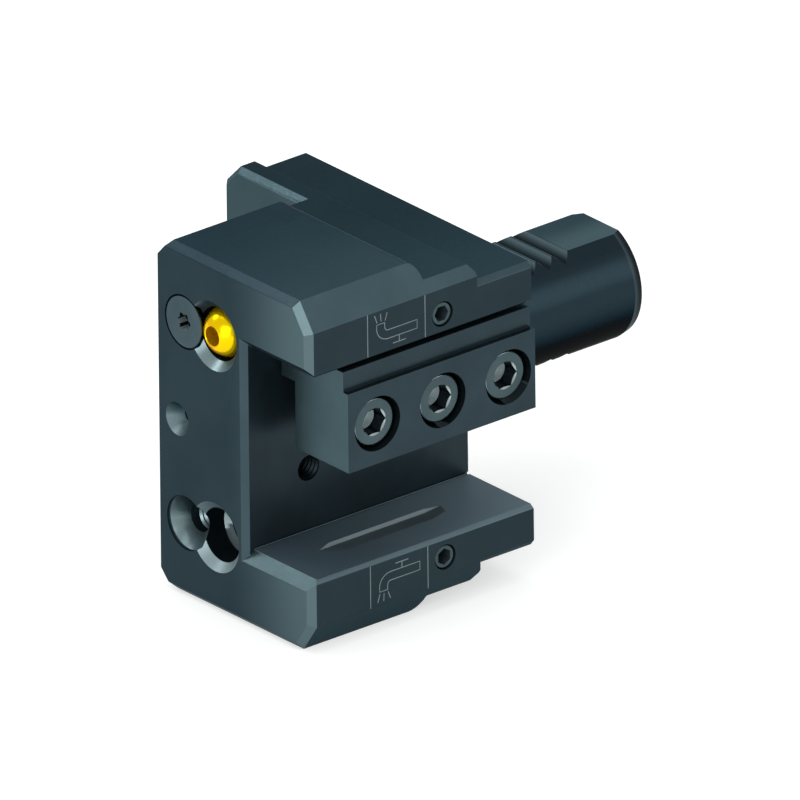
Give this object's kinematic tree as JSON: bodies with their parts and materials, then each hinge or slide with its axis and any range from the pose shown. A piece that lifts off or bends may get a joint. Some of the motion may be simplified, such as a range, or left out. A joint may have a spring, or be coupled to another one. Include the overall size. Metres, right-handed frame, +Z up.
{
  "type": "VDI tool holder",
  "caption": "Shank tool holder for a turning turret: toothed round shank, square head with a side slot, a screwed clamp bar and a coolant nozzle.",
  "frame": {"origin": "where the axis of the shank meets the rear face of the flange, the face that is drawn against the turret", "axes": "+Y along the shank away from the tool, +X out of the open side of the tool slot, +Z up towards the clamp bar's side"},
  "size_m": [0.0703, 0.1045, 0.0732],
  "materials": {
    "blackened_steel": "ground steel, blackened in a hot salt bath, oiled",
    "blackened_bar_steel": "milled steel, blackened, oiled",
    "blackened_screw_steel": "blackened high-tensile steel",
    "brass": "turned, bright",
    "nitrile_rubber": "matt black"
  },
  "bodies": {
    "holder": {"holder_body": "blackened_steel", "nozzle_seal": "nitrile_rubber", "flange_seal": "nitrile_rubber"},
    "clamp": {"clamp_bar": "blackened_bar_steel"},
    "screw_front": {"clamp_screw_front": "blackened_screw_steel"},
    "screw_middle": {"clamp_screw_middle": "blackened_screw_steel"},
    "screw_rear": {"clamp_screw_rear": "blackened_screw_steel"},
    "nozzle": {"nozzle_ball": "brass"},
    "nozzle_hold_screw": {"nozzle_screw": "blackened_screw_steel"},
    "valve_upper": {"valve_spindle_upper": "blackened_screw_steel", "valve_seal_upper": "nitrile_rubber"},
    "valve_lower": {"valve_spindle_lower": "blackened_screw_steel", "valve_seal_lower": "nitrile_rubber"}
  },
  "joints": [
    {"name": "clamp_bar_slide", "type": "slide", "parent": "holder", "child": "clamp", "axis": [-0.7071, 0, -0.7071], "range_m": [0, 0.0009]},
    {"name": "clamp_screw_front_turn", "type": "hinge", "parent": "holder", "child": "screw_front", "pos_m": [0.0379, -0.0396, 0.0082], "axis": [1, 0, 0], "continuous": true},
    {"name": "clamp_screw_middle_turn", "type": "hinge", "parent": "holder", "child": "screw_middle", "pos_m": [0.0379, -0.0233, 0.0082], "axis": [1, 0, 0], "continuous": true},
    {"name": "clamp_screw_rear_turn", "type": "hinge", "parent": "holder", "child": "screw_rear", "pos_m": [0.0379, -0.007, 0.0082], "axis": [1, 0, 0], "continuous": true},
    {"name": "nozzle_swivel", "type": "hinge", "parent": "holder", "child": "nozzle", "pos_m": [0.0091, -0.051, 0.0211], "axis": [0, 0, 1], "range_deg": [-15, 15]},
    {"name": "nozzle_screw_turn", "type": "hinge", "parent": "holder", "child": "nozzle_hold_screw", "pos_m": [0.0004, -0.05545, 0.0211], "axis": [0, 1, 0], "continuous": true},
    {"name": "valve_upper_turn", "type": "hinge", "parent": "holder", "child": "valve_upper", "pos_m": [0.0373, -0.0221, 0.0255], "axis": [1, 0, 0], "range_deg": [0, 90]},
    {"name": "valve_lower_turn", "type": "hinge", "parent": "holder", "child": "valve_lower", "pos_m": [0.0373, -0.0221, -0.0255], "axis": [1, 0, 0], "range_deg": [-90, 0]}
  ]
}
